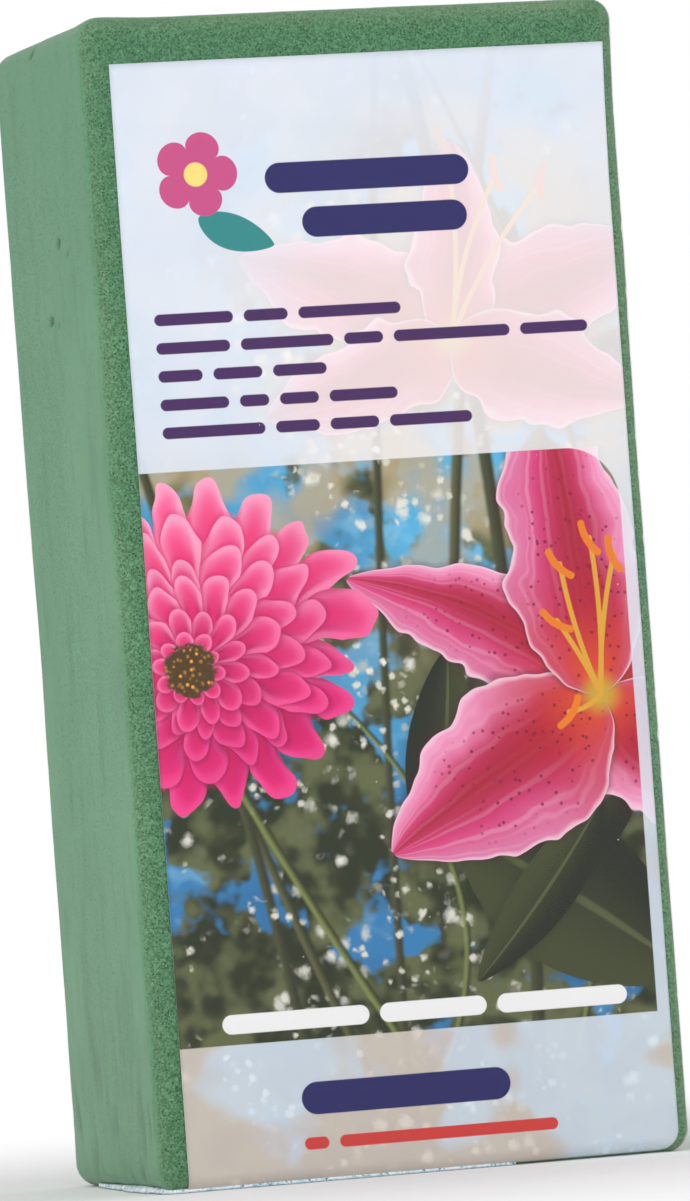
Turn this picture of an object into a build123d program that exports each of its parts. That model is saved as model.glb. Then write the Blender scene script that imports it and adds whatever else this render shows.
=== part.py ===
from build123d import *
import os

# A floral foam brick in its retail wrap: a block of phenolic foam, a printed paper insert lying
# on its front, and a clear shrink film pulled tight round both.
#
# Millimetres, +Z up. The brick stands on one end, with the insert facing -Y.
# Origin: the middle of the wrapped pack's underside.

# foam block
WIDTH = 110.0
DEPTH = 70.0
HEIGHT = 230.0
OUTLINE_RADIUS = 4.5  # the four corners of the front's outline
ARRIS_RADIUS = 3.0  # the edges round the front and back faces

# paper insert: the bare foam it leaves at each side, and its own rounded corner
PAPER = 0.12
BARE_LEFT = 5.5
BARE_RIGHT = 2.5
BARE_TOP = 9.0
BARE_BOTTOM = 0.6  # the sheet follows the rounded edge almost down to the base
INSERT_CORNER = 4.0  # bottom right corner, which follows the brick's own

# shrink film
FILM = 0.05


def brick_shape(extra_depth=0.0, skin=0.0):
    """The brick's rounded box on the origin's axis, made deeper front to back, then grown by a skin."""
    box = Box(WIDTH + 2 * skin, DEPTH + extra_depth + 2 * skin, HEIGHT + 2 * skin)
    box = fillet(box.edges().filter_by(Axis.Y), OUTLINE_RADIUS + skin)
    front_and_back = box.faces().sort_by(Axis.Y)[0].edges() + box.faces().sort_by(Axis.Y)[-1].edges()
    box = fillet(front_and_back, ARRIS_RADIUS + skin)
    return Pos(0, 0, FILM + HEIGHT / 2) * box


def foam_block():
    """The foam, half a sheet's thickness back from the pack's centre, so that the pack is centred."""
    return Pos(0, PAPER / 2, 0) * brick_shape()


def insert_outline():
    """The sheet's cut outline as a prism that runs through the front half of the pack."""
    left = -WIDTH / 2 + BARE_LEFT
    right = WIDTH / 2 - BARE_RIGHT
    bottom = FILM + BARE_BOTTOM
    top = FILM + HEIGHT - BARE_TOP
    sheet = Box(right - left, DEPTH / 2 + PAPER, top - bottom, align=(Align.MIN, Align.MAX, Align.MIN))
    sheet = Pos(left, 0, bottom) * sheet
    corner = sheet.edges().filter_by(Axis.Y).sort_by(Axis.Z)[:2].sort_by(Axis.X)[-1]
    return fillet(corner, INSERT_CORNER)


def paper_insert(wrapped, foam):
    """The sheet: what the wrap holds in front of the foam, inside the cut outline."""
    return (wrapped & insert_outline()) - foam


def shrink_film(wrapped):
    """The film: one closed skin round everything it wraps."""
    return brick_shape(PAPER, FILM) - wrapped


wrapped = brick_shape(PAPER)
foam = foam_block()
nodes = {
    "foam_block": foam,
    "paper_insert": paper_insert(wrapped, foam),
    "shrink_film": shrink_film(wrapped),
}

os.makedirs("parts", exist_ok=True)
for name, solid in nodes.items():
    export_step(solid, f"parts/{name}.step")
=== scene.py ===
import math
import random

import bmesh
import bpy
import numpy as np
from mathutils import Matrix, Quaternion, Vector, noise


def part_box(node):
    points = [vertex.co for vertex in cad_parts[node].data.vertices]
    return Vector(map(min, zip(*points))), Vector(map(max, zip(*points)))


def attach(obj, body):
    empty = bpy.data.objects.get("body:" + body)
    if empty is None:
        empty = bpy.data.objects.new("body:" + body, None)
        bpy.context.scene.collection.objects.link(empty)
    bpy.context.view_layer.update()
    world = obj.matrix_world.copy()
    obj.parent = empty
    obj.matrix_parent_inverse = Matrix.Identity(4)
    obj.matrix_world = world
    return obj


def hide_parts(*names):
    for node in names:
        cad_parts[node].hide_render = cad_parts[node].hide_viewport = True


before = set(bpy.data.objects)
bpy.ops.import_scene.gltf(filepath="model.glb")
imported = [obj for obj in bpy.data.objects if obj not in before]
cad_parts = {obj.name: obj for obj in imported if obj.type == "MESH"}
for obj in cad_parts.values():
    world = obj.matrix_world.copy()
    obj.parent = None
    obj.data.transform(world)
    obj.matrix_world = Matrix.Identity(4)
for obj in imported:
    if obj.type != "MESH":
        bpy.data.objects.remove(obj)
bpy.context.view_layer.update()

# Looks for a floral foam brick: dry foam with moulded sides and sawn faces, a printed sheet on its
# front, and a clear film round both. Shapes are worked out in millimetres about the foam's centre
# and put in place in metres at the end. X runs across the front, Y into the brick, Z up. Materials
# are painted by functions that take the paint p, and places u, v on the sheet, in millimetres.

MM = 0.001
foam_low, foam_high = (np.array(corner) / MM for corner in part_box("foam_block"))
sheet_low, sheet_high = (np.array(corner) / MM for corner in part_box("paper_insert"))
CENTRE = (foam_low + foam_high) / 2
HALF = (foam_high - foam_low) / 2
OUTLINE_RADIUS = 4.5  # the four corners of the front's outline
ARRIS_RADIUS = 3.0  # the edges round the front and back faces
WAIST = 0.7  # how far the sides draw in towards the foot
RIGHT_WAIST = (109.0, 30.0)  # the height where the right side starts to draw in, and over what length
LEFT_WAIST = (60.0, 60.0)  # the same at the left side's back edge
SHEET_LEFT, SHEET_RIGHT = sheet_low[0] - CENTRE[0], sheet_high[0] - CENTRE[0]
SHEET_FOOT, SHEET_TOP = sheet_low[2] - CENTRE[2], sheet_high[2] - CENTRE[2]
SHEET_WIDTH, SHEET_HEIGHT = SHEET_RIGHT - SHEET_LEFT, SHEET_TOP - SHEET_FOOT
SHEET_CORNER = 4.0  # its rounded bottom right corner
PAPER = 0.12  # the sheet's thickness
FILM_GAP = 0.05  # the film's thickness, and how far it stands off what it wraps
FOAM_GRID = (0.55, 1.6)  # mesh spacing near the edges, and elsewhere
FILM_GRID = (0.75, 2.6)


# ---------------------------------------------------------------- shapes


def grid_lines(half, fine, coarse):
    """Places from -half to half: close together near both ends, where the surface turns."""
    turn = np.linspace(half - OUTLINE_RADIUS, half, round(OUTLINE_RADIUS / fine) + 1)
    middle = np.linspace(-turn[0], turn[0], round(2 * turn[0] / coarse) + 1)
    return np.concatenate([-turn[::-1], middle[1:-1], turn])


def box_mesh(fine, coarse):
    """A closed box of quads, the size of the foam, with grid lines that crowd towards its edges."""
    lines = [grid_lines(half, fine, coarse) for half in HALF]
    bm = bmesh.new()
    for axis in range(3):
        first, second = (other for other in range(3) if other != axis)
        for end in (0, -1):
            place = [0.0, 0.0, 0.0]
            place[axis] = lines[axis][end]
            rows = []
            for a in lines[first]:
                place[first] = a
                row = []
                for b in lines[second]:
                    place[second] = b
                    row.append(bm.verts.new(place))
                rows.append(row)
            for row, after in zip(rows, rows[1:]):
                for i in range(len(row) - 1):
                    bm.faces.new((row[i], after[i], after[i + 1], row[i + 1]))
    bmesh.ops.remove_doubles(bm, verts=bm.verts, dist=1e-4)
    bmesh.ops.recalc_face_normals(bm, faces=bm.faces)
    return bm


def refine(bm, wanted, longest, cuts):
    """Splits the long edges where wanted says so, for small detail."""
    edges = []
    for edge in bm.edges:
        middle = (edge.verts[0].co + edge.verts[1].co) / 2
        if edge.calc_length() > longest and wanted(middle):
            edges.append(edge)
    bmesh.ops.subdivide_edges(bm, edges=edges, cuts=cuts, use_grid_fill=True)


def round_off(points):
    """Box surface points moved onto the brick's rounded surface, and the way out at each."""
    flat = HALF[[0, 2]] - OUTLINE_RADIUS
    corner = np.clip(points[:, [0, 2]], -flat, flat)
    off = points[:, [0, 2]] - corner
    reach = np.maximum(np.linalg.norm(off, axis=1, keepdims=True), 1e-9)
    core = points.copy()
    core[:, [0, 2]] = corner + off * np.minimum(1, (OUTLINE_RADIUS - ARRIS_RADIUS) / reach)
    core[:, 1] = np.clip(points[:, 1], ARRIS_RADIUS - HALF[1], HALF[1] - ARRIS_RADIUS)
    out = points - core
    out /= np.linalg.norm(out, axis=1, keepdims=True)
    return core + ARRIS_RADIUS * out, out


def front_surface(x, z):
    """The brick's rounded front at x and z: points on it, and the way out at each."""
    flat = HALF[[0, 2]] - OUTLINE_RADIUS
    across = np.stack([x, z], -1)
    off = across - np.clip(across, -flat, flat)
    reach = np.maximum(np.linalg.norm(off, axis=-1), 1e-9)
    past = np.maximum(reach - (OUTLINE_RADIUS - ARRIS_RADIUS), 0)
    depth = np.sqrt(ARRIS_RADIUS**2 - past**2)
    lean = off * (past / reach)[..., None]
    out = np.stack([lean[..., 0], -depth, lean[..., 1]], -1) / ARRIS_RADIUS
    return np.stack([x, ARRIS_RADIUS - HALF[1] - depth, z], -1), out


def wander(points, size, seed=0.0):
    """Smooth noise from -1 to 1 at each point, with features of about the given size."""
    return np.array([noise.noise(Vector(p / size) + Vector((seed, seed, seed))) for p in points])


def bump(distance, width):
    """A smooth bump, 1 at no distance and nearly 0 past twice the width."""
    return np.exp(-((distance / width) ** 2))


def waist(z, start, length):
    """How far a side is drawn in at a height: not at all above start, and fully length below it."""
    return WAIST * np.clip((start - z) / length, 0, 1) ** 0.8


def relief(points, out):
    """How far the brick's faces wander from flat: the foam, the sheet and the film all follow it.
    The top has a small swelling near its front left corner, and the base stays flat."""
    hollows = 0.28 * wander(points, 48.0) + 0.10 * wander(points, 17.0, 5.0)
    corner = np.array([-HALF[0] + 5, -HALF[1] + 3, HALF[2]])
    raised = 0.45 * bump(np.linalg.norm(points - corner, axis=1), 7.0) * np.maximum(out[:, 2], 0)
    off_base = 1 - np.maximum(-out[:, 2], 0)
    share_back = np.clip(points[:, 1] / HALF[1], -1, 1) * 0.5 + 0.5
    drawn_in = waist(points[:, 2], *RIGHT_WAIST) * np.maximum(out[:, 0], 0)
    drawn_in += waist(points[:, 2], *LEFT_WAIST) * np.maximum(-out[:, 0], 0) * share_back
    return (hollows + raised) * off_base - drawn_in


def sheet_lift(points):
    """How far the sheet stands off the foam: its left edge curls a little, most below its middle."""
    edge = bump(points[:, 0] - SHEET_LEFT, 5.0) * bump(points[:, 2] - SHEET_FOOT - 60, 70.0)
    waves = 0.05 + 0.05 * wander(points, 22.0, 9.0)
    return 0.16 * edge + waves


def closed_sheet(front, out, thickness):
    """Faces and points of a thin solid whose front is a grid of points, in rows."""
    rows, columns = front.shape[:2]
    back = front - thickness * out
    points = np.concatenate([front.reshape(-1, 3), back.reshape(-1, 3)])
    index = np.arange(rows * columns).reshape(rows, columns)
    behind = index + rows * columns
    faces = []
    for r in range(rows - 1):
        for c in range(columns - 1):
            faces.append((index[r, c], index[r, c + 1], index[r + 1, c + 1], index[r + 1, c]))
            faces.append((behind[r, c], behind[r + 1, c], behind[r + 1, c + 1], behind[r, c + 1]))
    for c in range(columns - 1):
        faces.append((index[0, c + 1], index[0, c], behind[0, c], behind[0, c + 1]))
        faces.append((index[-1, c], index[-1, c + 1], behind[-1, c + 1], behind[-1, c]))
    for r in range(rows - 1):
        faces.append((index[r, 0], index[r + 1, 0], behind[r + 1, 0], behind[r, 0]))
        faces.append((index[r + 1, -1], index[r, -1], behind[r, -1], behind[r + 1, -1]))
    return points, [tuple(int(i) for i in face) for face in faces]


def in_place(points):
    """Points in metres in the row's frame."""
    return (points + CENTRE) * MM


def make_piece(name, bm, materials, node):
    """An object from a mesh in metres, riding on the one body and standing for its CAD node."""
    mesh = bpy.data.meshes.new(name)
    bm.to_mesh(mesh)
    bm.free()
    mesh.shade_smooth()
    for material in materials:
        mesh.materials.append(material)
    piece = bpy.data.objects.new(name, mesh)
    bpy.context.scene.collection.objects.link(piece)
    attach(piece, "root")
    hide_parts(node)
    return piece


def mark(piece, **marks):
    """Stores numbers at each point of a piece for its material to read."""
    for name, values in marks.items():
        layer = piece.data.attributes.new(name, "FLOAT", "POINT")
        layer.data.foreach_set("value", np.asarray(values, np.float32))


# ---------------------------------------------------------------- foam

# Small pits in the foam: place on its left side as (from front, from top), then width, height, depth
SIDE_PITS = [(27.5, 41.7, 1.3, 1.0, 0.9), (37.3, 56.5, 1.7, 0.9, 1.0), (38.7, 2.6, 1.5, 1.2, 0.8),
             (21.1, 44.2, 0.7, 0.5, 0.4), (31.0, 57.6, 0.6, 0.6, 0.4)]
STRAY_PITS = 30  # on the other faces
BARE_STRIP = 0.8  # how far the fine foam mesh runs under the sheet's edges


def foam_pits():
    """Every pit: its centre on the surface, the way out, and its width, height and depth."""
    pits = []
    for from_front, from_top, width, height, depth in SIDE_PITS:
        centre = (-HALF[0], from_front - HALF[1], HALF[2] - from_top)
        pits.append((np.array(centre), 0, width, height, depth))
    draw = random.Random(11)
    for _ in range(STRAY_PITS):
        axis = draw.choice((0, 1, 1, 2))
        centre = np.array([draw.uniform(-0.9, 0.9) * half for half in HALF])
        centre[axis] = HALF[axis]
        pits.append((centre, axis, draw.uniform(0.5, 1.1), draw.uniform(0.4, 1.0), draw.uniform(0.3, 0.7)))
    return pits


def pit_depth(points, pits):
    """How deep the pits go at each point."""
    depth = np.zeros(len(points))
    for centre, axis, width, height, deepest in pits:
        near = np.abs(points - centre).max(axis=1) < 3 * max(width, height)
        offset = points[near] - centre
        tall = offset[:, 2] if axis != 2 else offset[:, 1]
        wide = offset[:, 1] if axis == 0 else offset[:, 0]
        ragged = 1 + 0.5 * wander(points[near], 0.9, 3.0)
        inside = ((wide + 0.35 * tall) / width) ** 2 + (tall / height) ** 2
        depth[near] = np.maximum(depth[near], deepest * np.exp(-((inside * ragged) ** 2)))
    return depth


def needs_detail(pits):
    """A test for where the foam needs a fine mesh: its bare front, and round each pit."""
    spots = [(Vector(centre), 2.6 * max(width, height)) for centre, _, width, height, _ in pits]

    def test(place):
        on_front = place.y < -HALF[1] + 0.01
        bare = (
            place.x < SHEET_LEFT + BARE_STRIP
            or place.x > SHEET_RIGHT - BARE_STRIP
            or place.z > SHEET_TOP - BARE_STRIP
        )
        near_front = place.y < -HALF[1] + ARRIS_RADIUS and not on_front
        if (on_front and bare) or near_front:
            return True
        return any((place - centre).length < reach for centre, reach in spots)

    return test


def make_foam(material):
    """The foam block, with hollows, worn edges, sawn grain, pits and low streaks in its mesh."""
    pits = foam_pits()
    bm = box_mesh(*FOAM_GRID)
    refine(bm, needs_detail(pits), longest=0.9, cuts=3)
    flat = np.array([v.co for v in bm.verts])
    points, out = round_off(flat)
    cut = np.clip((np.abs(out[:, 1]) - 0.35) / 0.3, 0, 1)
    from_edge = np.sort(HALF - np.abs(flat), axis=1)[:, 1]
    # Near the edges: the mesh crumbles there as wear, and the foam material paints a warm highlight there.
    worn = bump(from_edge, 3.0) * (0.7 + 0.3 * points[:, 0] / HALF[0])
    on_left = np.clip(-out[:, 0], 0, 1)
    low_left = on_left * bump(points[:, 2] + HALF[2], 26.0)
    grain = 0.5 + 0.5 * wander(points, 0.42, 2.0)
    crumble = np.maximum(wander(points, 2.6, 7.0), 0) ** 1.5
    streaks = wander(points * (1, 1, 0.16), 1.9, 4.0)
    low_streaks = np.maximum(streaks - 0.12, 0) * low_left
    holes = pit_depth(points, pits)
    inward = (0.02 + 0.10 * cut) * grain + 0.45 * worn * crumble + 0.9 * low_streaks + holes
    inward *= 1 - 0.8 * np.maximum(-out[:, 2], 0) ** 4
    places = in_place(points + out * (relief(points, out) - inward)[:, None])
    for vert, place in zip(bm.verts, places):
        vert.co = place
    piece = make_piece("foam_brick", bm, [material], "foam_block")
    high = np.clip((points[:, 2] - 20) / 70, 0, 1)
    # hollow marks the pits and low streaks, which the foam material paints darker.
    mark(piece, cut=cut, worn=worn, high=high, hollow=np.clip(holes / 0.5 + 1.6 * low_streaks, 0, 1))


# ---------------------------------------------------------------- printed sheet

# The picture on the sheet, in millimetres: u from the sheet's left edge, v up from its foot
PICTURE_RIGHT, PICTURE_FOOT, PICTURE_TOP = 98.5, 27.4, 140.0
PICTURE_CORNER = 11.0
# The picture is painted by four materials, as each can hold only part of it: one below FOOT_PART, then
# one left of LEFT_PART, one from there to MIDDLE_PART, and one right of that
FOOT_PART, LEFT_PART, MIDDLE_PART = 52, 38, 50


def sheet_grid():
    """The sheet's front as rows of x and z. Its right edge follows the foam's waist and a little more."""
    foot = np.linspace(0, SHEET_CORNER, 17)
    body = np.linspace(SHEET_CORNER, PICTURE_TOP, 68)
    head = np.linspace(PICTURE_TOP, SHEET_HEIGHT, 41)
    z = SHEET_FOOT + np.concatenate([foot, body[1:], head[1:]])
    turn = SHEET_RIGHT - SHEET_CORNER
    x = np.concatenate([np.linspace(SHEET_LEFT, turn, 60), np.linspace(turn, SHEET_RIGHT, 11)[1:]])
    below = np.clip(SHEET_FOOT + SHEET_CORNER - z, 0, SHEET_CORNER)
    limit = SHEET_RIGHT - 1.3 * waist(z, *RIGHT_WAIST) - SHEET_CORNER + np.sqrt(SHEET_CORNER**2 - below**2)
    share = (x - SHEET_LEFT) / SHEET_WIDTH
    xs = SHEET_LEFT + share[None, :] * (limit - SHEET_LEFT)[:, None]
    zs = np.repeat(z[:, None], len(x), axis=1)
    return xs, zs


def sheet_part(u, v):
    """Which of the sheet's materials, by number, paints the place u, v."""
    if v > PICTURE_TOP:
        return 0
    if v < FOOT_PART:
        return 1
    return 2 + (u > LEFT_PART) + (u > MIDDLE_PART)


def make_sheet(materials):
    """The printed sheet: thin paper that follows the foam's front down over its bottom edge."""
    xs, zs = sheet_grid()
    points, out = front_surface(xs, zs)
    flat_points, flat_out = points.reshape(-1, 3), out.reshape(-1, 3)
    rise = relief(flat_points, flat_out) + sheet_lift(flat_points) + PAPER
    front = (flat_points + flat_out * rise[:, None]).reshape(points.shape)
    places, faces = closed_sheet(front, out, PAPER)
    mesh = bpy.data.meshes.new("sheet_form")
    mesh.from_pydata(in_place(places), [], faces)
    bm = bmesh.new()
    bm.from_mesh(mesh)
    bpy.data.meshes.remove(mesh)
    bmesh.ops.recalc_face_normals(bm, faces=bm.faces)
    piece = make_piece("printed_sheet", bm, materials, "paper_insert")
    printed = np.arange(len(places)) < len(places) // 2
    across = np.tile(xs.ravel() - SHEET_LEFT, 2)
    up = np.tile(zs.ravel() - SHEET_FOOT, 2)
    mark(piece, printed=printed, across=across, up=up)
    for face in piece.data.polygons:
        corners = list(face.vertices)
        face.material_index = sheet_part(across[corners].mean(), up[corners].mean())


# ---------------------------------------------------------------- film

FIN_HEIGHT = 0.85  # the sealed fin's root above the base
FIN_END = 18.0  # it dies out this far right of the brick's middle line
FIN_BACK = 55.0  # and this far back along the left side
FIN_STEPS = 6  # points from its root to its lip
FIN_BULGE = 19.0  # its fullest place, this far back along the left side


def fin_path():
    """The fin's line round the foot: along the left side, round the corner, along the front. Each
    point has its way out and how far it is along the side, or a negative distance along the front."""
    side_x, front_y = -HALF[0] + 1.9, -HALF[1] + 0.95
    corner = 2.0
    path = []
    for y in np.arange(front_y + FIN_BACK, front_y + corner, -0.45):
        path.append((side_x, y, -1.0, 0.0, y - front_y))
    for angle in np.linspace(0, math.pi / 2, 8):
        c, s = math.cos(angle), math.sin(angle)
        path.append((side_x + corner * (1 - c), front_y + corner * (1 - s), -c, -s, 0.0))
    for x in np.arange(side_x + corner + 0.45, FIN_END, 0.6):
        path.append((x, front_y, 0.0, -1.0, side_x - x))
    return path


def foot_inset(height):
    """How far in from its left side the brick's rounded foot is, at a height above its base."""
    return OUTLINE_RADIUS - math.sqrt(OUTLINE_RADIUS**2 - (OUTLINE_RADIUS - height) ** 2)


def fin_row(x, y, out_x, out_y, back):
    """One line of points across the fin, from its root to its lip."""
    place = Vector((x, y, 0.0))
    on_side = max(min(back / 4, 1), 0)
    fade = min(1, (FIN_BACK - back) / 14) if back > 0 else min(1, (FIN_END - x) / 40)
    fade = max(fade, 0)
    bulge = on_side * math.exp(-(((back - FIN_BULGE) / 11) ** 2))
    crinkle = noise.noise(place * 0.9) * (0.15 + 0.85 * on_side)
    root = FIN_HEIGHT + fade * (0.2 * on_side + 0.3 * bulge)
    lean = foot_inset(FIN_HEIGHT) - foot_inset(root)
    side_reach = 0.5 * on_side * (0.6 + noise.noise(place * 0.33))
    reach = fade * (0.42 + side_reach + 0.9 * bulge)
    row = []
    for i in range(FIN_STEPS):
        t = i / (FIN_STEPS - 1)
        fold = crinkle * math.sin(2.2 * math.pi * t) * 0.35
        height = root * (1 - t) + 0.06 + 0.5 * on_side * t * abs(noise.noise(place * 1.7))
        outward = lean + reach * t**0.7 + fold * t
        row.append((x + out_x * outward, y + out_y * outward, height - HALF[2] - FILM_GAP))
    return row


def make_fin():
    """Points and faces of the crinkled, heat-sealed fin under the film's foot."""
    path = fin_path()
    front = np.array([fin_row(*stop) for stop in path])
    out = np.zeros_like(front)
    for row, (_, _, out_x, out_y, _) in zip(out, path):
        row[:] = (out_x * 0.8, out_y * 0.8, 0.6)
    return closed_sheet(front, out, FILM_GAP)


def make_film(clear, sealed):
    """The film: a tight clear skin that rides over the sheet, and its sealed fin."""
    bm = box_mesh(*FILM_GRID)
    points, out = round_off(np.array([v.co for v in bm.verts]))
    forward = np.maximum(-out[:, 1], 0)
    skin = FILM_GAP + forward * (PAPER + sheet_lift(points) + FILM_GAP)
    corner = np.linalg.norm(np.abs(points) - HALF, axis=1)
    gathers = 0.16 * bump(corner, 9.0) * np.abs(wander(points * (1, 1, 0.4), 2.2, 1.0))
    off_base = 1 - np.maximum(-out[:, 2], 0)
    lift = relief(points, out) + skin + gathers * off_base
    for vert, place in zip(bm.verts, in_place(points + out * lift[:, None])):
        vert.co = place
    places, faces = make_fin()
    fin = [bm.verts.new(place) for place in in_place(places)]
    for face in faces:
        bm.faces.new([fin[i] for i in face]).material_index = 1
    bmesh.ops.recalc_face_normals(bm, faces=bm.faces)
    height = np.array([v.co.z for v in bm.verts]) / MM
    piece = make_piece("clear_film", bm, [clear, sealed], "shrink_film")
    # lip: the fin's lowest edge, where the sealed film's material paints a dark reflection.
    mark(piece, lip=np.clip((0.45 - height) / 0.3, 0, 1))


# ---------------------------------------------------------------- painting with nodes


class Field:
    """A number, colour or shader that varies over a surface. Sums on it add Math nodes."""

    def __init__(self, paint, socket):
        self.paint = paint
        self.socket = socket

    def __add__(self, other):
        return self.paint.math("ADD", self, other)

    def __sub__(self, other):
        return self.paint.math("SUBTRACT", self, other)

    def __rsub__(self, other):
        return self.paint.math("SUBTRACT", other, self)

    def __mul__(self, other):
        return self.paint.math("MULTIPLY", self, other)

    def __truediv__(self, other):
        return self.paint.math("DIVIDE", self, other)


class Paint:
    """A node tree being painted: its methods add nodes and give back fields."""

    def __init__(self, tree):
        self.tree = tree
        self.tree.nodes.clear()

    def node(self, kind, **settings):
        """A new node of a kind, with its settings."""
        node = self.tree.nodes.new(kind)
        for name, value in settings.items():
            setattr(node, name, value)
        return node

    def plug(self, socket, value):
        """Links a field to an input, or sets the input to a number or colour."""
        if isinstance(value, Field):
            self.tree.links.new(value.socket, socket)
        else:
            socket.default_value = value

    def math(self, kind, *values):
        """One Math node."""
        node = self.node("ShaderNodeMath", operation=kind)
        for socket, value in zip(node.inputs, values):
            self.plug(socket, value)
        return Field(self, node.outputs[0])

    def size(self, value):
        return self.math("ABSOLUTE", value)

    def least(self, a, b):
        return self.math("MINIMUM", a, b)

    def most(self, a, b):
        return self.math("MAXIMUM", a, b)

    def power(self, a, b):
        return self.math("POWER", a, b)

    def far(self, a, b):
        """The length of the line from the origin to (a, b)."""
        return self.math("SQRT", a * a + b * b)

    def rise(self, value, start, end):
        """0 at start and 1 at end, with a smooth turn between. Start may be above end."""
        node = self.node("ShaderNodeMapRange", interpolation_type="SMOOTHSTEP", clamp=False)
        self.plug(node.inputs["Value"], value)
        self.plug(node.inputs["From Min"], start)
        self.plug(node.inputs["From Max"], end)
        return Field(self, node.outputs["Result"])

    def mix(self, share, a, b):
        """Colour a where share is 0 and b where it is 1."""
        node = self.node("ShaderNodeMix", data_type="RGBA")
        self.plug(node.inputs["Factor"], share)
        for socket, value in zip([s for s in node.inputs if s.type == "RGBA"], (a, b)):
            self.plug(socket, value)
        return Field(self, next(s for s in node.outputs if s.type == "RGBA"))

    def tone(self, colour, value):
        """A colour made darker or brighter by a number."""
        return self.mix(value, rgb(0, 0, 0), colour)

    def attribute(self, name):
        """A number stored on the mesh by mark."""
        return Field(self, self.node("ShaderNodeAttribute", attribute_name=name).outputs["Fac"])

    def texture(self, kind, size, stretch, seed):
        """A texture with features of about the given size in mm, times stretch along X, Y and Z."""
        place = self.node("ShaderNodeMapping")
        self.tree.links.new(self.node("ShaderNodeTexCoord").outputs["Object"], place.inputs["Vector"])
        place.inputs["Scale"].default_value = [1 / (size * MM * longer) for longer in stretch]
        place.inputs["Location"].default_value = (seed, seed, seed)
        node = self.node(kind)
        self.tree.links.new(place.outputs[0], node.inputs["Vector"])
        node.inputs["Scale"].default_value = 1.0
        return node

    def noise(self, size, detail=2.0, roughness=0.5, stretch=(1, 1, 1), seed=0.0):
        """Soft noise from 0 to 1."""
        node = self.texture("ShaderNodeTexNoise", size, stretch, seed)
        node.inputs["Detail"].default_value = detail
        node.inputs["Roughness"].default_value = roughness
        return Field(self, node.outputs["Fac"])

    def cells(self, size, stretch=(1, 1, 1), seed=0.0):
        """Cells: how far from a cell's middle, and the cell's own random number."""
        node = self.texture("ShaderNodeTexVoronoi", size, stretch, seed)
        split = self.node("ShaderNodeSeparateColor")
        self.tree.links.new(node.outputs["Color"], split.inputs[0])
        return Field(self, node.outputs["Distance"]), Field(self, split.outputs[0])

    def bumps(self, height, depth, strength=1.0):
        """A bumped normal: height in units of depth mm."""
        node = self.node("ShaderNodeBump")
        node.inputs["Strength"].default_value = strength
        node.inputs["Distance"].default_value = depth * MM
        self.plug(node.inputs["Height"], height)
        return Field(self, node.outputs[0])

    def shader(self, kind, **inputs):
        """A shader, with some of its inputs given by name, with _ for a space."""
        node = self.node(kind)
        for name, value in inputs.items():
            self.plug(node.inputs[name.replace("_", " ")], value)
        return Field(self, node.outputs[0])

    def blend(self, share, first, second):
        """The first shader where share is 0, and the second where it is 1."""
        node = self.node("ShaderNodeMixShader")
        for socket, value in zip(node.inputs, (share, first, second)):
            self.plug(socket, value)
        return Field(self, node.outputs[0])

    def end(self, shader, kind="ShaderNodeOutputMaterial"):
        """Ends the material, or a world, with a shader."""
        self.plug(self.node(kind).inputs["Surface"], shader)

    def surface(self, colour, **inputs):
        """Ends the material with one Principled shader."""
        self.end(self.shader("ShaderNodeBsdfPrincipled", Base_Color=colour, **inputs))


def painted(name):
    """A new material and the paint for it."""
    material = bpy.data.materials.new(name)
    material.use_nodes = True
    return material, Paint(material.node_tree)


def socket_kind(value):
    """The kind of node group socket that a field, number or colour needs."""
    if isinstance(value, tuple) or (isinstance(value, Field) and value.socket.type == "RGBA"):
        return "NodeSocketColor"
    return "NodeSocketFloat"


def recipe(build):
    """Makes a painting function a node group, built at its first use and then one node a use."""
    groups = []

    def build_group(values):
        tree = bpy.data.node_groups.new(build.__name__, "ShaderNodeTree")
        inside = Paint(tree)
        for number, value in enumerate(values):
            tree.interface.new_socket(f"in_{number}", in_out="INPUT", socket_type=socket_kind(value))
        start = inside.node("NodeGroupInput")
        results = build(inside, *[Field(inside, start.outputs[i]) for i in range(len(values))])
        results = results if isinstance(results, tuple) else (results,)
        for number, result in enumerate(results):
            tree.interface.new_socket(f"out_{number}", in_out="OUTPUT", socket_type=socket_kind(result))
        finish = inside.node("NodeGroupOutput")
        for socket, result in zip(finish.inputs, results):
            inside.plug(socket, result)
        return tree

    def use(p, *values):
        if not groups:
            groups.append(build_group(values))
        node = p.node("ShaderNodeGroup", node_tree=groups[0])
        for socket, value in zip(node.inputs, values):
            p.plug(socket, value)
        made = [Field(p, socket) for socket in node.outputs]
        return made[0] if len(made) == 1 else made

    return use


def rgb(red, green, blue):
    """A colour as it looks on screen, 0 to 255, as the linear values that nodes use."""
    linear = []
    for value in (red, green, blue):
        share = value / 255
        linear.append(share / 12.92 if share <= 0.04045 else ((share + 0.055) / 1.055) ** 2.4)
    return (*linear, 1.0)


# ---------------------------------------------------------------- foam material


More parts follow.
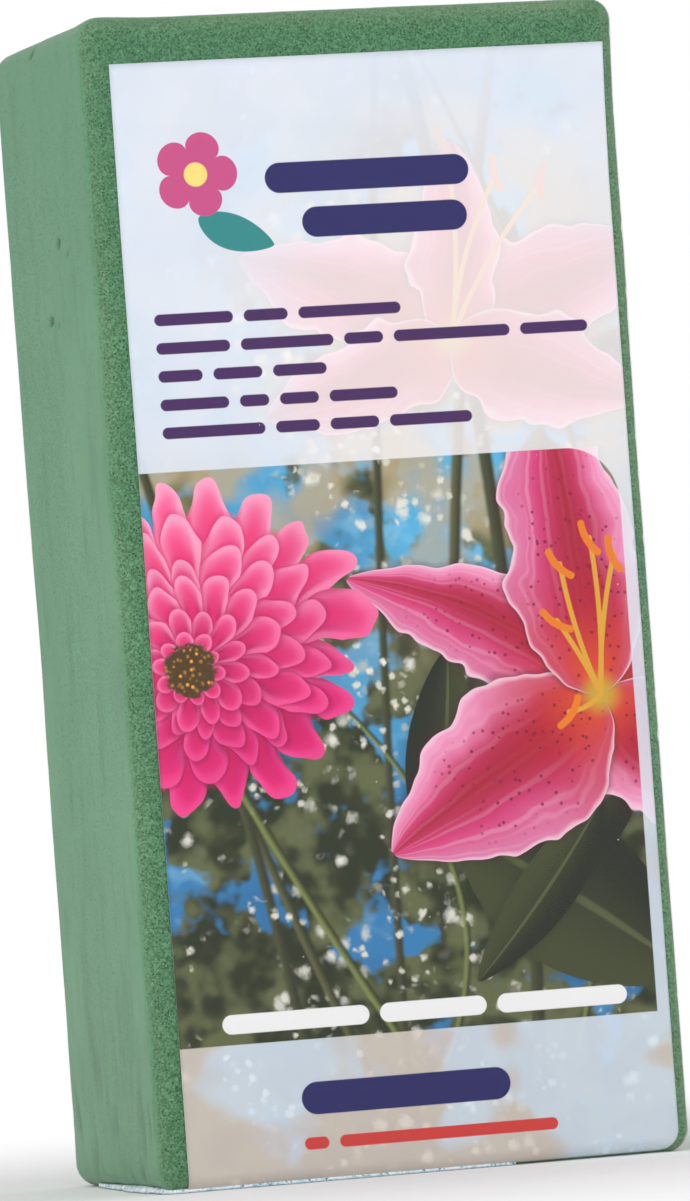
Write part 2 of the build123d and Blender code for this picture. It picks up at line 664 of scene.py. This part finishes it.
def foam_material():
    """Dry foam: smooth pale moulded skin, darker open cells where it is sawn, with painted glints on some
    cells, painted shade in its pores and pits, and a painted warm highlight along its edges.
    """
    material, p = painted("dry_floral_foam")
    cut = p.attribute("cut")
    worn = p.attribute("worn")
    hollow = p.attribute("hollow")
    high = p.attribute("high")

    clouds = p.noise(30.0, 3.0)
    drawn = p.noise(5.0, 3.0, 0.6, stretch=(1, 1, 4.5))
    fine = p.noise(0.7)
    skin = p.mix(p.rise(clouds, 0.3, 0.7), rgb(104, 160, 120), rgb(113, 169, 128))
    skin = p.mix(high * 0.8, skin, rgb(94, 155, 116))
    skin = p.mix(p.rise(drawn, 0.50, 0.70) * 0.5, skin, rgb(88, 144, 106))
    bruises = p.noise(10.0, 3.0, 0.65, stretch=(1, 1, 3.5), seed=2.0)
    skin = p.mix(p.rise(bruises, 0.53, 0.70) * 0.4, skin, rgb(80, 134, 98))
    dash_far, dash_pick = p.cells(2.4, stretch=(1, 2.2, 1))
    dashes = p.rise(dash_far, 0.16, 0.05) * p.rise(dash_pick, 0.72, 0.8)
    skin = p.mix(dashes * 0.35, skin, rgb(150, 186, 160))
    skin = p.tone(skin, fine * 0.2 + 0.84)

    cell_far, cell_pick = p.cells(0.36)
    pore_far, pore_pick = p.cells(0.6)
    sawn = p.mix(p.rise(cell_pick, 0.1, 0.9), rgb(72, 122, 84), rgb(104, 156, 116))
    # Painted glints: a few cells are painted bright, where their walls would catch the light.
    sawn = p.mix(p.rise(cell_pick, 0.9, 0.96) * 0.4, sawn, rgb(134, 180, 144))
    pores = p.rise(pore_far, 0.38, 0.24) * p.rise(pore_pick, 0.45, 0.6)
    # Painted shade in the open pores, which are darkened to deep green.
    sawn = p.mix(pores * 0.85, sawn, rgb(40, 88, 60))
    sawn = p.tone(sawn, p.rise(clouds, 0.25, 0.75) * 0.1 + p.rise(bruises, 0.35, 0.65) * 0.06 + 0.92)
    sawn = p.mix(high * 0.25, sawn, rgb(70, 122, 88))

    colour = p.mix(cut, skin, sawn)
    # Painted highlight: the edges are painted lighter and tan, in patches.
    colour = p.mix(worn * p.rise(clouds, 0.2, 0.6) * 0.42, colour, rgb(146, 164, 130))
    # Painted shade inside the pits; the low streaks are painted darker along their grooves too.
    colour = p.mix(hollow * 0.7, colour, rgb(52, 88, 66))

    grain = p.rise(cell_far, 0.0, 0.6) * cut - pores * 1.2
    ripple = fine * 0.05 + drawn * 0.35
    p.surface(
        colour,
        Roughness=p.rise(fine, 0.2, 0.8) * 0.1 + 0.86,
        Specular_IOR_Level=0.2,
        Sheen_Weight=0.12,
        Sheen_Roughness=0.6,
        Normal=p.bumps(grain + ripple, 0.22, 0.8),
    )
    return material


# ---------------------------------------------------------------- the printed picture

INK_EDGE = 0.12  # how soft a printed edge is


def turned(angle):
    """The cosine and sine of an angle in degrees."""
    return math.cos(math.radians(angle)), math.sin(math.radians(angle))


def picture_backdrop(p, v):
    """Blurred sky, foliage and haze behind the flowers."""
    patches = p.noise(26.0)
    mottle = p.noise(8.0, seed=4.0)
    growth = p.noise(14.0, 3.0, seed=6.0)
    sky = p.mix(p.rise(v, 50.0, 135.0), rgb(58, 132, 186), rgb(92, 184, 226))
    sky = p.mix(p.rise(patches, 0.6, 0.35) * 0.6, sky, rgb(44, 108, 158))
    sky = p.mix(p.rise(mottle, 0.56, 0.7) * 0.4, sky, rgb(150, 205, 235))
    bush = p.rise(growth + p.rise(v, 130.0, 30.0) * 0.14, 0.50, 0.57)
    leafy = p.mix(p.rise(mottle, 0.4, 0.62), rgb(46, 54, 34), rgb(104, 110, 74))
    ground = p.mix(bush, sky, leafy)
    haze = p.rise(p.noise(17.0, seed=3.0), 0.40, 0.56) * p.rise(v, 90.0, 135.0)
    return p.mix(haze * 0.8, ground, rgb(192, 176, 140))


@recipe
def stem(p, colour, u, v, lean, bend, width, ink):
    """A blurred stem that runs up from the origin of u and v, leaning and bending as it goes."""
    aside = u - v * lean - v * v * bend
    mask = p.rise(p.size(aside) - width, 0.6, -0.5) * p.rise(v, -1.0, 1.0)
    shade = p.rise(aside / width, -1.0, 1.0)
    return p.mix(mask, colour, p.mix(shade, ink, rgb(52, 56, 36)))


def small_blossom(p, colour, u, size, share, softness, tint):
    """A scatter of tiny pale blossoms, thick in drifts and in the middle of the picture."""
    far, pick = p.cells(size)
    drift = p.noise(4.0 * size, seed=5.0) + p.rise(p.size(u - 48.0), 34.0, 6.0) * 0.12
    ragged = far + p.noise(0.4 * size) * 0.5 - 0.25
    mask = p.rise(ragged, 0.44, 0.44 - softness) * p.rise(pick, 0.2, 0.5) * p.rise(drift + share, 1.0, 1.06)
    return p.mix(mask, colour, p.mix(pick, tint, rgb(240, 237, 226)))


@recipe
def petal(p, u, v, cosine, sine, length, width, bend, full, ruffle):
    """Where a point lies on a petal that grows from the origin of u and v: along it from 0 to 1,
    across it from -1 to 1, whether it is inside, and how much the petal shades it."""
    run = (u * cosine + v * sine) / length
    along = p.most(p.least(run, 1.0), 0.0)
    across = v * cosine - u * sine - along * along * (bend * length)
    swell = p.most(p.math("SINE", p.power(along, full) * math.pi), 0.0)
    half = p.power(swell, 0.72) * width + ruffle * swell
    past = p.size(across) - half
    within = p.rise(run, -0.01, 0.01) * p.rise(run, 1.0, 0.99)
    shadow = p.rise(past, 2.2, -0.6) * within
    return along, across / p.most(half, 0.4), p.rise(past, INK_EDGE, -INK_EDGE) * within, shadow


@recipe
def lily_petal(p, colour, u, v, cosine, sine, length, width, bend, ruffle, freckles):
    """One lily petal over the picture: pale rim, rose face, crimson rib, dark freckles."""
    along, side, mask, shadow = petal(p, u, v, cosine, sine, length, width, bend, 0.74, ruffle)
    edge = p.size(side)
    colour = p.mix(shadow * 0.5, colour, rgb(64, 18, 40))
    veins = p.math("SINE", side * 31.0 + along * 5.0) * p.math("SINE", side * 13.0 + 1.0) * 0.5 + 0.5
    face = p.mix(p.rise(edge, 0.3, 0.95), rgb(228, 70, 134), rgb(244, 158, 198))
    face = p.mix(p.rise(side, -0.2, 0.9) * 0.4, face, rgb(196, 44, 116))
    face = p.mix(p.rise(veins, 0.5, 0.9) * 0.25, face, rgb(250, 196, 220))
    rib = p.rise(p.size(side + 0.1) + along * 0.5, 1.0, 0.25)
    face = p.mix(rib * 0.9, face, rgb(172, 20, 44))
    face = p.mix(p.rise(along, 0.5, 0.1) * 0.7, face, rgb(200, 32, 48))
    face = p.mix(p.rise(along, 0.3, 0.0) * p.rise(edge, 1.0, 0.2) * 0.8, face, rgb(232, 92, 52))
    face = p.mix(p.rise(edge, 0.88, 1.0) * 0.75, face, rgb(252, 218, 232))
    spots = p.rise(freckles, 0.24, 0.15) * p.rise(along, 0.85, 0.55) * p.rise(edge, 0.85, 0.6)
    return p.mix(mask, colour, p.mix(spots * 0.8, face, rgb(132, 10, 60)))


@recipe
def stroke(p, colour, u, v, run_u, run_v, bow, width, ink):
    """A bowed line from the origin of u and v by (run_u, run_v)."""
    squared = run_u * run_u + run_v * run_v
    along = p.most(p.least((u * run_u + v * run_v) / squared, 1.0), 0.0)
    bowed = along * (1 - along) * 4 * bow
    off_u = u - along * run_u + bowed * run_v
    off_v = v - along * run_v - bowed * run_u
    return p.mix(p.rise(p.far(off_u, off_v) - width, INK_EDGE, -INK_EDGE), colour, ink)


def lily(p, colour, u, v, heart, size, petals, stamens, freckles):
    """A lily: petals from back to front as (angle, length, width, bend), then its stamens as
    (angle, length, bow). Lengths and widths are shares of its size. It is freckled where freckles,
    a number or field, is near 0."""
    u, v = u - heart[0], v - heart[1]
    ruffle = (p.noise(8.0, 1.0) - 0.5) * (0.2 * size)
    for angle, length, width, bend in petals:
        shape = (length * size, width * size, bend, ruffle, freckles)
        colour = lily_petal(p, colour, u, v, *turned(angle), *shape)
    colour = p.mix(p.rise(p.far(u, v), 0.11 * size, 0.02 * size) * 0.9, colour, rgb(206, 176, 60))
    for angle, length, bow in stamens:
        cosine, sine = turned(angle)
        tip_u, tip_v = length * size * cosine, length * size * sine
        colour = stroke(p, colour, u, v, tip_u, tip_v, bow, 0.5, rgb(226, 170, 58))
        anther_u, anther_v = (0.13 * size * part for part in turned(angle + 28))
        from_u, from_v = u - (tip_u - anther_u / 2), v - (tip_v - anther_v / 2)
        colour = stroke(p, colour, from_u, from_v, anther_u, anther_v, 0.1, 0.75, rgb(236, 132, 36))
    return colour


DAHLIA_RINGS = 6


@recipe
def dahlia_ring(p, colour, u, v, light, sway, count, reach, start, shade):
    """One ring of dahlia petals round the origin of u and v: count of them, reach long, turned by
    start and sway, over a shadow as strong as shade."""
    far = p.far(u, v)
    place = (p.math("ARCTAN2", v, u) / (2 * math.pi) + sway) * count + start
    number = p.math("FLOOR", place)
    turn = (place - number) * 2 - 1
    side = p.size(turn)
    pick = p.math("FRACT", p.math("SINE", number * 12.99 + start) * 437.5)
    tip = (pick * 0.2 + 0.88 - p.power(side, 2.0) * 0.24) * reach
    gap = p.mix(light, rgb(160, 8, 80), rgb(234, 38, 118))
    colour = p.mix(p.rise(far - tip, 1.8, -0.3) * shade, colour, gap)
    along = far / tip
    face = p.mix(p.rise(along, 0.55, 1.0), gap, p.mix(light, rgb(242, 40, 134), rgb(255, 138, 184)))
    cup = p.rise(side, 0.65, 0.1) * p.rise(along, 1.0, 0.75)
    face = p.mix(cup * 0.6, face, p.mix(light, rgb(228, 20, 106), rgb(252, 60, 130)))
    rim = p.rise(side, 0.55, 0.85) + p.rise(along, 0.88, 1.0)
    face = p.mix(p.least(rim, 1.0) * 0.45, face, p.mix(light, rgb(250, 100, 166), rgb(255, 204, 226)))
    face = p.mix(p.rise(turn, 0.5, 1.0) * 0.75, face, gap)
    return p.mix(p.rise(far - tip, INK_EDGE, -INK_EDGE), colour, p.tone(face, pick * 0.12 + 0.91))


def dahlia(p, colour, u, v, rim, heart, outer, inner):
    """A dahlia: rings of petals from the outside in, each ring's centre nearer the heart, then its
    eye of olive florets with orange tips."""
    light = p.rise(v - u * 0.3, heart[1] - 24.0, heart[1] + 32.0)
    sway = (p.noise(11.0, 1.0, seed=8.0) - 0.5) * 0.05
    for ring in range(DAHLIA_RINGS):
        t = ring / (DAHLIA_RINGS - 1)
        reach = outer + (inner - outer) * t**0.9
        centre = [a + (b - a) * t for a, b in zip(rim, heart)]
        start = 40 + 0.5 * ring + 0.37 * ring * ring
        count = round(19 - 9 * t)
        shade = 0.6 if ring else 0.0
        colour = dahlia_ring(p, colour, u - centre[0], v - centre[1], light, sway, count, reach, start, shade)
    far = p.far(u - heart[0], v - heart[1])
    florets, pick = p.cells(1.15)
    eye = p.mix(p.rise(florets, 0.1, 0.5), rgb(176, 128, 62), rgb(84, 62, 30))
    eye = p.mix(p.rise(pick, 0.7, 0.8) * p.rise(florets, 0.35, 0.2), eye, rgb(246, 168, 60))
    return p.mix(p.rise(far + (pick - 0.5) * 1.2, 0.75 * inner, 0.62 * inner), colour, eye)


@recipe
def leaf(p, colour, u, v, cosine, sine, length, width, bend):
    """A dark leaf with a pale rib."""
    _, side, mask, shadow = petal(p, u, v, cosine, sine, length, width, bend, 0.9, 0.0)
    face = p.mix(p.rise(side, -0.8, 0.8), rgb(70, 76, 46), rgb(38, 44, 32))
    face = p.mix(p.rise(p.size(side), 0.09, 0.02) * 0.5, face, rgb(112, 122, 78))
    colour = p.mix(shadow * 0.3, colour, rgb(30, 40, 26))
    return p.mix(mask, colour, face)


OLIVE, MOSS, BRIGHT = rgb(104, 104, 70), rgb(80, 84, 56), rgb(136, 148, 84)
# Each stem: its foot's u and v, lean, bend, half width and ink
STEMS = (
    (38.0, 20.0, -0.42, 0.0004, 1.0, OLIVE),
    (28.0, 12.0, -0.16, -0.0004, 1.0, MOSS),
    (49.0, 20.0, -0.62, 0.0008, 0.9, BRIGHT),
    (46.0, 20.0, 0.0, 0.0002, 0.8, MOSS),
    (60.0, 60.0, 0.02, 0.0006, 1.1, OLIVE),
    (73.0, 15.0, 0.06, -0.0006, 1.3, MOSS),
    (54.0, 20.0, 0.5, -0.01, 0.6, BRIGHT),
    (82.0, 22.0, 0.3, -0.002, 0.6, BRIGHT),
)


def stems_and_blossom(p, colour, u, v):
    """Stems, and drifts of small blossom out of focus behind them."""
    colour = small_blossom(p, colour, u, 4.4, 0.46, 0.34, rgb(178, 184, 170))
    for foot_u, foot_v, lean, bend, width, ink in STEMS:
        colour = stem(p, colour, u - foot_u, v - foot_v, lean, bend, width, ink)
    return small_blossom(p, colour, u, 2.5, 0.42, 0.3, rgb(186, 186, 164))


def dark_leaves(p, colour, u, v):
    """The big leaves behind and below the near lily."""
    for base_u, base_v, angle, length, width, bend in (
        (54.0, 62.0, 74, 40.0, 8.0, 0.12),
        (98.0, 74.0, 204, 36.0, 10.0, 0.1),
        (60.0, 66.0, -30, 56.0, 15.0, -0.08),
        (90.0, 70.0, 236, 44.0, 6.0, -0.1),
    ):
        colour = leaf(p, colour, u - base_u, v - base_v, *turned(angle), length, width, bend)
    return colour


def far_lily(p, colour, u, v):
    """The lily that shows faintly through the sheet's pale upper part."""
    petals = [(150, 1.0, 0.25, 0.12), (28, 1.0, 0.27, -0.1), (80, 0.85, 0.2, 0.1), (205, 0.9, 0.22, -0.1),
              (335, 0.9, 0.24, 0.1)]
    stamens = [(70, 0.75, 0.05), (88, 0.85, -0.04), (55, 0.8, 0.04)]
    return lily(p, colour, u, v, (66.0, 163.0), 46.0, petals, stamens, 1.0)


def near_lily(p, colour, u, v):
    """The picture's lily, whose right side runs under the pale margin."""
    petals = [(18, 0.8, 0.24, 0.1), (134, 1.08, 0.24, 0.34), (312, 0.8, 0.26, 0.0), (217, 1.07, 0.33, -0.08),
              (100, 1.3, 0.29, -0.05)]
    stamens = [(104, 0.54, 0.03), (90, 0.62, -0.03), (80, 0.56, 0.03), (118, 0.34, -0.02), (205, 0.15, 0.1)]
    freckles, _ = p.cells(1.8)
    return lily(p, colour, u, v, (91.5, 91.0), 50.0, petals, stamens, freckles)


def near_dahlia(p, colour, u, v):
    """The picture's dahlia, cut by the sheet's left edge."""
    return dahlia(p, colour, u, v, (11.8, 105.5), (7.7, 101.0), 33.0, 7.5)


# ---------------------------------------------------------------- the printed layout

PLUM, INDIGO, TEAL, CORAL, WHITE = (
    rgb(74, 40, 98), rgb(42, 40, 104), rgb(52, 142, 142), rgb(214, 66, 62), rgb(246, 246, 246)
)
# Plain bars stand where the real sheet has words: height up the sheet, left end, half height, ink, lengths
BAR_LINES = (
    (169.8, 5.5, 1.15, PLUM, (16, 9, 21)),
    (164.2, 5.5, 1.15, PLUM, (15, 19, 8, 24, 14)),
    (158.7, 5.5, 1.15, PLUM, (9, 10, 11)),
    (153.1, 5.5, 1.15, PLUM, (14, 6, 8, 14)),
    (147.6, 5.5, 1.15, PLUM, (21, 9, 10, 17)),
    (196.5, 30.0, 3.0, INDIGO, (42,)),
    (187.5, 37.0, 3.0, INDIGO, (34,)),
    (31.4, 9.0, 1.9, WHITE, (30, 22, 27)),
    (15.8, 24.0, 3.2, INDIGO, (43,)),
    (7.0, 24.0, 1.2, CORAL, (5, 45)),
)
BAR_GAP = 2.2


@recipe
def bar(p, colour, u, v, length, half, ink):
    """A round-ended bar, from the origin of u and v to the right."""
    past = p.most(p.size(u - length / 2) - (length / 2 - half), 0.0)
    return p.mix(p.rise(p.far(past, v) - half, INK_EDGE, -INK_EDGE), colour, ink)


def picture_mask(p, u, v):
    """1 inside the picture's full-strength panel, which runs off the sheet's left edge."""
    past_u = p.most(u - (PICTURE_RIGHT - PICTURE_CORNER), 0.0)
    past_v = p.most(v - (PICTURE_TOP - PICTURE_CORNER), 0.0)
    inside = p.rise(p.far(past_u, past_v) - PICTURE_CORNER, INK_EDGE, -INK_EDGE)
    return inside * p.rise(v, PICTURE_FOOT - INK_EDGE, PICTURE_FOOT + INK_EDGE)


def plain_blossom(p, colour, u, v, size):
    """A simple five-petal flower with a leaf, of no one's design, round the origin of u and v."""
    _, _, blade, _ = petal(p, u, v + size, *turned(-28), 1.9 * size, 0.42 * size, 0.1, 0.85, 0.0)
    far = p.far(u, v)
    lobes = p.power(p.size(p.math("COSINE", p.math("ARCTAN2", v, u) * 2.5)), 0.5)
    reach = (lobes * 0.4 + 0.6) * size
    colour = p.mix(blade, colour, TEAL)
    colour = p.mix(p.rise(far - reach, INK_EDGE, -INK_EDGE), colour, rgb(206, 84, 140))
    return p.mix(p.rise(far, 0.28 * size + INK_EDGE, 0.28 * size - INK_EDGE), colour, rgb(250, 226, 130))


def printed_face(p, u, v, artwork, lines):
    """The sheet's print: the picture, faded outside its panel, with bars in place of words."""
    picture = stems_and_blossom(p, picture_backdrop(p, v), u, v)
    for paint_over in artwork:
        picture = paint_over(p, picture, u, v)
    clouds = p.noise(24.0)
    upper = p.mix(p.rise(clouds, 0.35, 0.65), rgb(220, 231, 244), rgb(230, 235, 245))
    glow = p.rise(p.far(u - 68.0, v - 162.0), 60.0, 26.0)
    upper = p.mix(glow * 0.85, upper, rgb(255, 248, 246))
    to_right = p.rise(u, 60.0, 100.0) * 0.14
    lower = p.mix(p.rise(clouds + to_right, 0.52, 0.6), rgb(226, 215, 206), rgb(226, 238, 250))
    wash = p.mix(p.rise(v, PICTURE_FOOT, 90.0), lower, upper)
    clear_sky = p.rise(v, 130.0, 150.0) * (1 - glow)
    faded = p.mix(clear_sky * 0.14 + 0.8 - glow * 0.05, picture, wash)
    colour = p.mix(picture_mask(p, u, v), faded, picture)
    for middle, left, half, ink, lengths in lines:
        for length in lengths:
            colour = bar(p, colour, u - left, v - middle, length, half, ink)
            left += length + BAR_GAP
    return colour


def paper_material(name, artwork, lines, with_sign=False):
    """Coated paper: the print on its face, white at its cut edges and back, with a little foam dust."""
    material, p = painted(name)
    u = p.attribute("across")
    v = p.attribute("up")
    face = printed_face(p, u, v, artwork, lines)
    if with_sign:
        face = plain_blossom(p, face, u - 16.0, v - 198.0, 8.5)
    printed = p.rise(p.attribute("printed"), 0.9, 0.98)
    colour = p.mix(printed, rgb(240, 240, 238), face)
    speck_far, speck_pick = p.cells(5.5)
    specks = p.rise(speck_far, 0.03, 0.015) * p.rise(speck_pick, 0.5, 0.55)
    colour = p.mix(specks * 0.8, colour, rgb(250, 250, 246))
    fibres = p.noise(0.5, 3.0, 0.6)
    p.surface(
        colour,
        Roughness=fibres * 0.12 + 0.36,
        Specular_IOR_Level=0.35,
        Normal=p.bumps(fibres, 0.02, 0.5),
    )
    return material


def sheet_materials():
    """The sheet's materials, in sheet_part's order."""
    words = [line for line in BAR_LINES if line[0] > PICTURE_TOP]
    foot_words = [line for line in BAR_LINES if line[0] < PICTURE_TOP]
    return [
        paper_material("paper_upper", [far_lily], words, with_sign=True),
        paper_material("paper_foot", [dark_leaves], foot_words),
        paper_material("paper_left", [near_dahlia], []),
        paper_material("paper_middle", [dark_leaves, near_lily, near_dahlia], []),
        paper_material("paper_right", [dark_leaves, near_lily], []),
    ]


# ---------------------------------------------------------------- film material


def film_material():
    """Clear film: nearly all see-through, with a soft shine that grows towards its edges."""
    material, p = painted("clear_film")
    normal = p.bumps(p.noise(7.0, stretch=(1, 1, 2)), 0.25, 0.5)
    shine = p.shader("ShaderNodeBsdfGlossy", Roughness=0.22, Normal=normal)
    rim = p.node("ShaderNodeLayerWeight")
    p.plug(rim.inputs["Blend"], 0.25)
    p.plug(rim.inputs["Normal"], normal)
    share = Field(p, rim.outputs["Fresnel"]) * 0.35
    p.end(p.blend(share, p.shader("ShaderNodeBsdfTransparent"), shine))
    return material


def sealed_material():
    """The film where it is gathered and sealed: milky, with painted reflections in its crinkles and a cool
    dark painted reflection along its lip.
    """
    material, p = painted("sealed_film")
    crinkles = p.noise(1.3, 3.0, 0.6)
    glints = p.noise(0.9, 2.0, 0.6, seed=3.0)
    colour = p.mix(p.rise(crinkles, 0.35, 0.65), rgb(206, 228, 236), rgb(246, 250, 252))
    # Painted reflections in the crinkles: cyan from the green foam showing in them, and dark teal.
    colour = p.mix(p.rise(glints, 0.54, 0.62) * 0.7, colour, rgb(112, 176, 192))
    colour = p.mix(p.rise(glints, 0.64, 0.70) * 0.8, colour, rgb(48, 92, 92))
    # Painted reflection: a cool dark blue-grey line along the fin's lip.
    colour = p.mix(p.attribute("lip") * 0.75, colour, rgb(112, 136, 164))
    p.surface(
        colour,
        Roughness=crinkles * 0.2 + 0.12,
        Alpha=p.rise(crinkles, 0.2, 0.5) * 0.25 + 0.7,
        Normal=p.bumps(crinkles, 0.15, 0.6),
    )
    return material


# ---------------------------------------------------------------- stage, light and camera

FLOOR_RADIUS = 9.0  # metres
KEY_POWER, FILL_POWER = 9.8, 3.4  # watts


def floor_material():
    """Pale floor that pales into the white around it with distance."""
    material, p = painted("pale_floor")
    length = p.node("ShaderNodeVectorMath", operation="LENGTH")
    p.tree.links.new(p.node("ShaderNodeTexCoord").outputs["Object"], length.inputs[0])
    far = Field(p, length.outputs["Value"])
    pale = p.mix(p.noise(60.0), rgb(236, 236, 236), rgb(242, 242, 242))
    matt = p.shader("ShaderNodeBsdfDiffuse", Color=pale)
    p.end(p.blend(p.rise(far, 0.03, 0.32), matt, p.shader("ShaderNodeEmission")))
    return material


def make_floor():
    """A wide disc under the brick."""
    bm = bmesh.new()
    bmesh.ops.create_circle(bm, cap_ends=True, segments=96, radius=FLOOR_RADIUS)
    mesh = bpy.data.meshes.new("floor")
    bm.to_mesh(mesh)
    bm.free()
    mesh.materials.append(floor_material())
    floor = bpy.data.objects.new("floor", mesh)
    bpy.context.scene.collection.objects.link(floor)


def make_world():
    """A soft white surround, a little brighter where the camera sees it than where it lights."""
    world = bpy.data.worlds.new("soft_white")
    bpy.context.scene.world = world
    world.use_nodes = True
    p = Paint(world.node_tree)
    light = p.shader("ShaderNodeBackground", Color=(1, 1, 1, 1), Strength=0.68)
    seen = p.shader("ShaderNodeBackground", Color=(1, 1, 1, 1), Strength=1.0)
    by_camera = Field(p, p.node("ShaderNodeLightPath").outputs["Is Camera Ray"])
    p.end(p.blend(by_camera, light, seen), "ShaderNodeOutputWorld")


def make_lamp(name, place, aim, size, power):
    """A square soft light at place, turned to aim, in metres."""
    lamp = bpy.data.lights.new(name, "AREA")
    lamp.size = size
    lamp.energy = power
    lamp_object = bpy.data.objects.new(name, lamp)
    lamp_object.location = place
    lamp_object.rotation_mode = "QUATERNION"
    lamp_object.rotation_quaternion = (Vector(aim) - Vector(place)).to_track_quat("-Z", "Y")
    bpy.context.scene.collection.objects.link(lamp_object)


VIEW_TURN = 16.48  # degrees the camera looks to the right of straight into the brick
VIEW_RISE = 1.25  # degrees it looks up
VIEW_ROLL = 4.14  # degrees it is tipped on its side
VIEW_DISTANCE = 1.728  # metres
VIEW_SENSOR = 36.0  # mm
VIEW_LENS = 257.9  # mm
VIEW_SLIDE = (1.1, -0.8)  # mm the camera stands right of and above its line to the brick's middle


def make_camera():
    """The camera, at the photograph's viewing angle."""
    turn, rise = math.radians(VIEW_TURN), math.radians(VIEW_RISE)
    ahead = Vector((math.sin(turn) * math.cos(rise), math.cos(turn) * math.cos(rise), math.sin(rise)))
    aim = ahead.to_track_quat("-Z", "Y")
    aim = Quaternion(ahead, math.radians(VIEW_ROLL)) @ aim
    slide = aim @ Vector((VIEW_SLIDE[0] * MM, VIEW_SLIDE[1] * MM, 0))
    data = bpy.data.cameras.new("camera")
    data.lens = VIEW_LENS
    data.sensor_width = VIEW_SENSOR
    camera = bpy.data.objects.new("camera", data)
    camera.rotation_mode = "QUATERNION"
    camera.rotation_quaternion = aim
    camera.location = Vector(CENTRE * MM) - ahead * VIEW_DISTANCE + slide
    data.clip_end = 100
    bpy.context.scene.collection.objects.link(camera)
    bpy.context.scene.camera = camera


make_foam(foam_material())
make_sheet(sheet_materials())
make_film(film_material(), sealed_material())
make_floor()
make_world()
brick_middle = CENTRE * MM
make_lamp("key", (-0.9, -1.1, 0.9), brick_middle, 0.9, KEY_POWER)
make_lamp("fill", (1.2, -1.0, 0.6), brick_middle, 1.0, FILL_POWER)
make_camera()
bpy.context.scene.view_settings.view_transform = "Standard"
